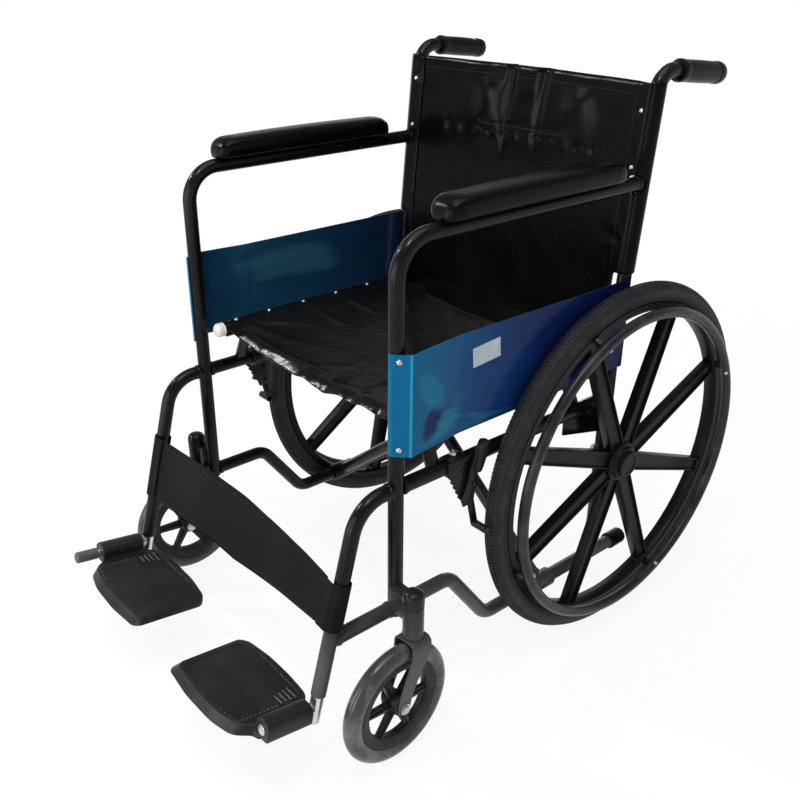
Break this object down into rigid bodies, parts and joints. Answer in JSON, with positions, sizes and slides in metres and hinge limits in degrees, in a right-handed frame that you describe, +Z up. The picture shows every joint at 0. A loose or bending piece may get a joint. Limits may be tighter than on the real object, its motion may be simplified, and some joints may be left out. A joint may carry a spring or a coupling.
{
  "type": "folding wheelchair",
  "caption": "Folding manual wheelchair with tubular side frames, scissor cross tubes, sling seat and back, side guards, spoked drive wheels with handrims, swivel casters and flip-up footplates.",
  "frame": {"origin": "on the floor, at the middle of the box round the open chair", "axes": "+Z up; the chair faces -Y; the user's left is +X; wheel axles along X"},
  "size_m": [0.6572, 1.0186, 0.912],
  "materials": {
    "black_tube": "satin gloss black paint on round steel tube",
    "blue_guard": "painted sheet steel under glossy blue protective film",
    "black_vinyl": "glossy black vinyl upholstery cloth",
    "strap_vinyl": "matt black vinyl strap",
    "pad_foam": "textured black self-skinned foam",
    "mag_plastic": "black moulded nylon",
    "tyre_rubber": "dark grey solid tyre",
    "caster_rubber": "grey translucent solid caster tyre",
    "foot_plastic": "black moulded plastic with a dotted tread",
    "silver_tube": "bright plated tube",
    "steel_bolt": "zinc plated steel",
    "white_plug": "white plastic plug",
    "grip_rubber": "soft black vinyl grip"
  },
  "bodies": {
    "chair": {"backrest": "black_vinyl", "calf_strap": "strap_vinyl", "right_arm_pad": "pad_foam", "right_arm_tube": "black_tube", "right_back_cane": "black_tube", "right_brake_plate": "black_tube", "right_caster_head": "black_tube", "right_front_stay": "black_tube", "right_hanger_tube": "black_tube", "right_lower_rail": "black_tube", "right_push_grip": "grip_rubber", "right_rear_axle": "steel_bolt", "right_side_guard": "blue_guard", "right_side_rail": "black_tube", "right_tip_cap": "grip_rubber"},
    "cross_a": {"cross_pivot_bolt": "steel_bolt", "left_rail_plug": "white_plug", "left_seat_rail": "black_tube", "right_cross_tube": "black_tube", "seat": "black_vinyl"},
    "cross_b": {"left_cross_tube": "black_tube", "right_rail_plug": "white_plug", "right_seat_rail": "black_tube"},
    "left_frame": {"left_arm_pad": "pad_foam", "left_arm_tube": "black_tube", "left_back_cane": "black_tube", "left_brake_plate": "black_tube", "left_caster_head": "black_tube", "left_front_stay": "black_tube", "left_hanger_tube": "black_tube", "left_lower_rail": "black_tube", "left_push_grip": "grip_rubber", "left_rear_axle": "steel_bolt", "left_side_guard": "blue_guard", "left_side_rail": "black_tube", "left_tip_cap": "grip_rubber"},
    "left_wheel": {"left_handrim": "mag_plastic", "left_rear_tyre": "tyre_rubber", "left_rear_wheel": "mag_plastic"},
    "left_caster": {"left_caster_axle": "steel_bolt", "left_caster_fork": "black_tube"},
    "left_caster_roll": {"left_caster_tyre": "caster_rubber", "left_caster_wheel": "mag_plastic"},
    "left_brake": {"left_brake_lever": "black_tube"},
    "left_shoe": {"left_brake_shoe": "black_tube"},
    "left_footrest": {"left_footrest_tube": "silver_tube"},
    "left_plate": {"left_footplate": "foot_plastic"},
    "right_wheel": {"right_handrim": "mag_plastic", "right_rear_tyre": "tyre_rubber", "right_rear_wheel": "mag_plastic"},
    "right_caster": {"right_caster_axle": "steel_bolt", "right_caster_fork": "black_tube"},
    "right_caster_roll": {"right_caster_tyre": "caster_rubber", "right_caster_wheel": "mag_plastic"},
    "right_brake": {"right_brake_lever": "black_tube"},
    "right_shoe": {"right_brake_shoe": "black_tube"},
    "right_footrest": {"right_footrest_plug": "grip_rubber", "right_footrest_tube": "silver_tube"},
    "right_plate": {"right_footplate": "foot_plastic"}
  },
  "joints": [
    {"name": "fold", "type": "hinge", "parent": "chair", "child": "cross_a", "pos_m": [-0.2525, 0.06299, 0.1], "axis": [0, -1, 0], "range_deg": [0, 36.5], "deforming": ["seat", "backrest", "calf_strap"]},
    {"name": "cross_pivot", "type": "hinge", "parent": "cross_a", "child": "cross_b", "pos_m": [0, 0.06299, 0.29884], "axis": [0, -1, 0], "range_deg": [-73, 0]},
    {"name": "left_rail_pivot", "type": "hinge", "parent": "cross_b", "child": "left_frame", "pos_m": [0.2525, 0.06299, 0.1], "axis": [0, -1, 0], "range_deg": [0, 36.5]},
    {"name": "left_wheel_spin", "type": "hinge", "parent": "left_frame", "child": "left_wheel", "pos_m": [0.2865, 0.20999, 0.2995], "axis": [1, 0, 0], "continuous": true},
    {"name": "left_caster_swivel", "type": "hinge", "parent": "left_frame", "child": "left_caster", "pos_m": [0.3045, -0.24851, 0.196], "axis": [0, 0, 1], "continuous": true},
    {"name": "left_caster_spin", "type": "hinge", "parent": "left_caster", "child": "left_caster_roll", "pos_m": [0.3062, -0.28096, 0.0945], "axis": [0.9986, 0.0523, 0], "continuous": true},
    {"name": "left_brake_lever", "type": "hinge", "parent": "left_frame", "child": "left_brake", "pos_m": [0.2715, -0.11201, 0.372], "axis": [1, 0, 0], "range_deg": [0, 40]},
    {"name": "left_shoe_pivot", "type": "hinge", "parent": "left_frame", "child": "left_shoe", "pos_m": [0.2679, -0.11201, 0.345], "axis": [1, 0, 0], "range_deg": [0, 7]},
    {"name": "left_footrest_height", "type": "slide", "parent": "left_frame", "child": "left_footrest", "axis": [0, -0.2622, -0.965], "range_m": [-0.01, 0.05]},
    {"name": "left_plate_flip", "type": "hinge", "parent": "left_footrest", "child": "left_plate", "pos_m": [0.2525, -0.38093, 0.106], "axis": [0, 0.9877, -0.1564], "range_deg": [0, 73]},
    {"name": "right_wheel_spin", "type": "hinge", "parent": "chair", "child": "right_wheel", "pos_m": [-0.2865, 0.20999, 0.2995], "axis": [1, 0, 0], "continuous": true},
    {"name": "right_caster_swivel", "type": "hinge", "parent": "chair", "child": "right_caster", "pos_m": [-0.2865, -0.24851, 0.196], "axis": [0, 0, 1], "continuous": true},
    {"name": "right_caster_spin", "type": "hinge", "parent": "right_caster", "child": "right_caster_roll", "pos_m": [-0.29046, -0.28076, 0.0945], "axis": [0.9925, -0.1219, 0], "continuous": true},
    {"name": "right_brake_lever", "type": "hinge", "parent": "chair", "child": "right_brake", "pos_m": [-0.2715, -0.11201, 0.372], "axis": [1, 0, 0], "range_deg": [0, 40]},
    {"name": "right_shoe_pivot", "type": "hinge", "parent": "chair", "child": "right_shoe", "pos_m": [-0.2679, -0.11201, 0.345], "axis": [1, 0, 0], "range_deg": [0, 7]},
    {"name": "right_footrest_height", "type": "slide", "parent": "chair", "child": "right_footrest", "axis": [0, -0.2622, -0.965], "range_m": [0, 0.05]},
    {"name": "right_plate_flip", "type": "hinge", "parent": "right_footrest", "child": "right_plate", "pos_m": [-0.2525, -0.37848, 0.115], "axis": [0, -0.9877, 0.1564], "range_deg": [0, 73]}
  ],
  "couplings": [
    {"joint": "cross_pivot", "follows": "fold", "ratio": -2},
    {"joint": "left_rail_pivot", "follows": "fold", "ratio": 1},
    {"joint": "left_shoe_pivot", "follows": "left_brake_lever", "ratio": 0.175},
    {"joint": "left_plate_flip", "follows": "fold", "ratio": 2},
    {"joint": "right_shoe_pivot", "follows": "right_brake_lever", "ratio": 0.175},
    {"joint": "right_plate_flip", "follows": "fold", "ratio": 2}
  ]
}
